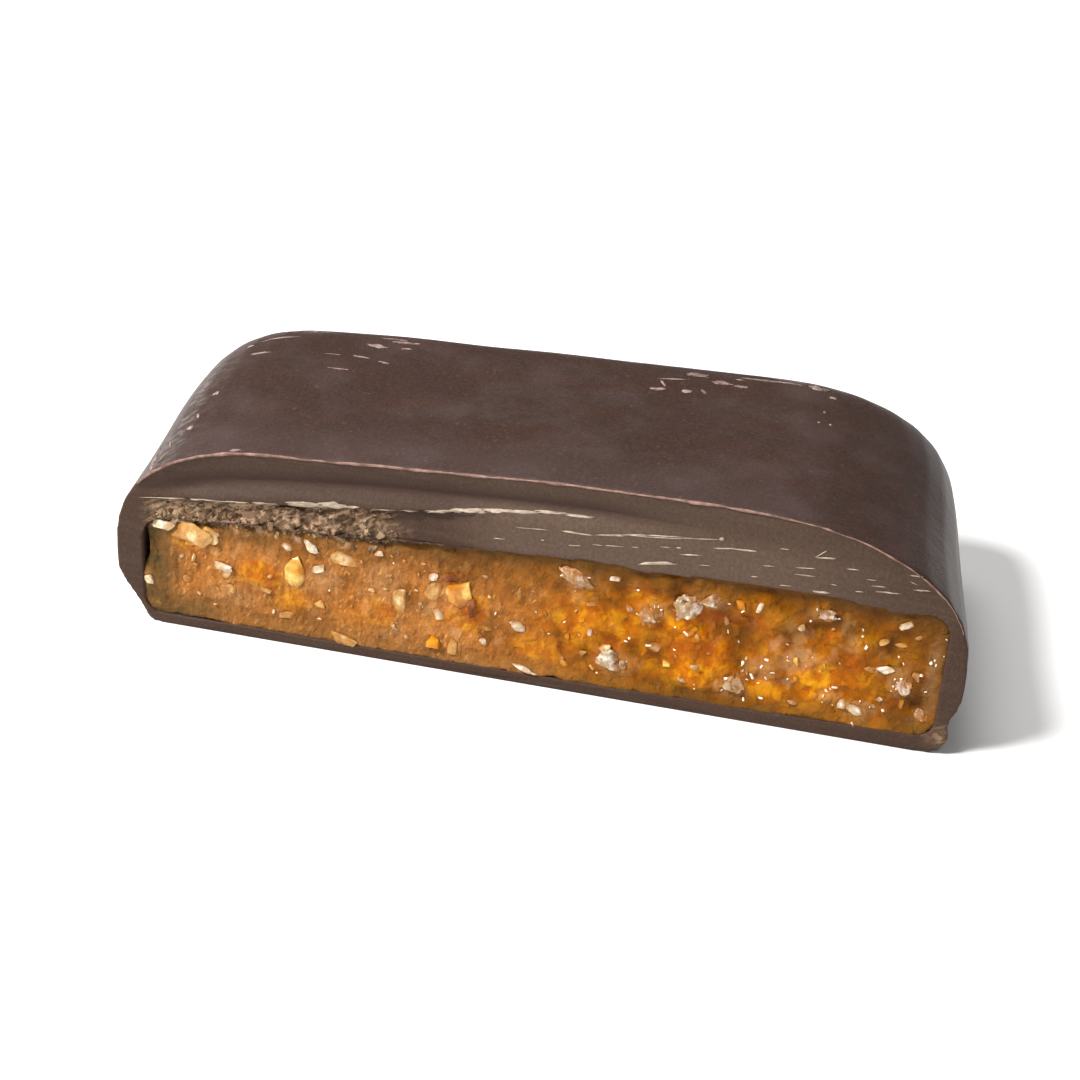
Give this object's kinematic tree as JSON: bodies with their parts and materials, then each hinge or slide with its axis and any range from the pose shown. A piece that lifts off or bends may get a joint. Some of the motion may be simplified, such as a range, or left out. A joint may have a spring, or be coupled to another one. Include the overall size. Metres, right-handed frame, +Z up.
{
  "type": "chocolate toffee",
  "caption": "Half of a dark-chocolate-coated nut toffee bar, lying flat, cut open lengthwise to show amber toffee with chopped nuts under a thick chocolate top.",
  "frame": {"origin": "on the flat underside, under the middle of the part's box", "axes": "+X along the bar, +Y from the cut towards the dipped back, +Z up"},
  "size_m": [0.0496, 0.0228, 0.0136],
  "materials": {
    "chocolate": "satin dark chocolate, dull where it is cut",
    "toffee": "glossy, slightly translucent amber toffee with chopped nuts"
  },
  "bodies": {
    "root": {"chocolate_coating": "chocolate", "toffee_filling": "toffee"}
  },
  "joints": []
}
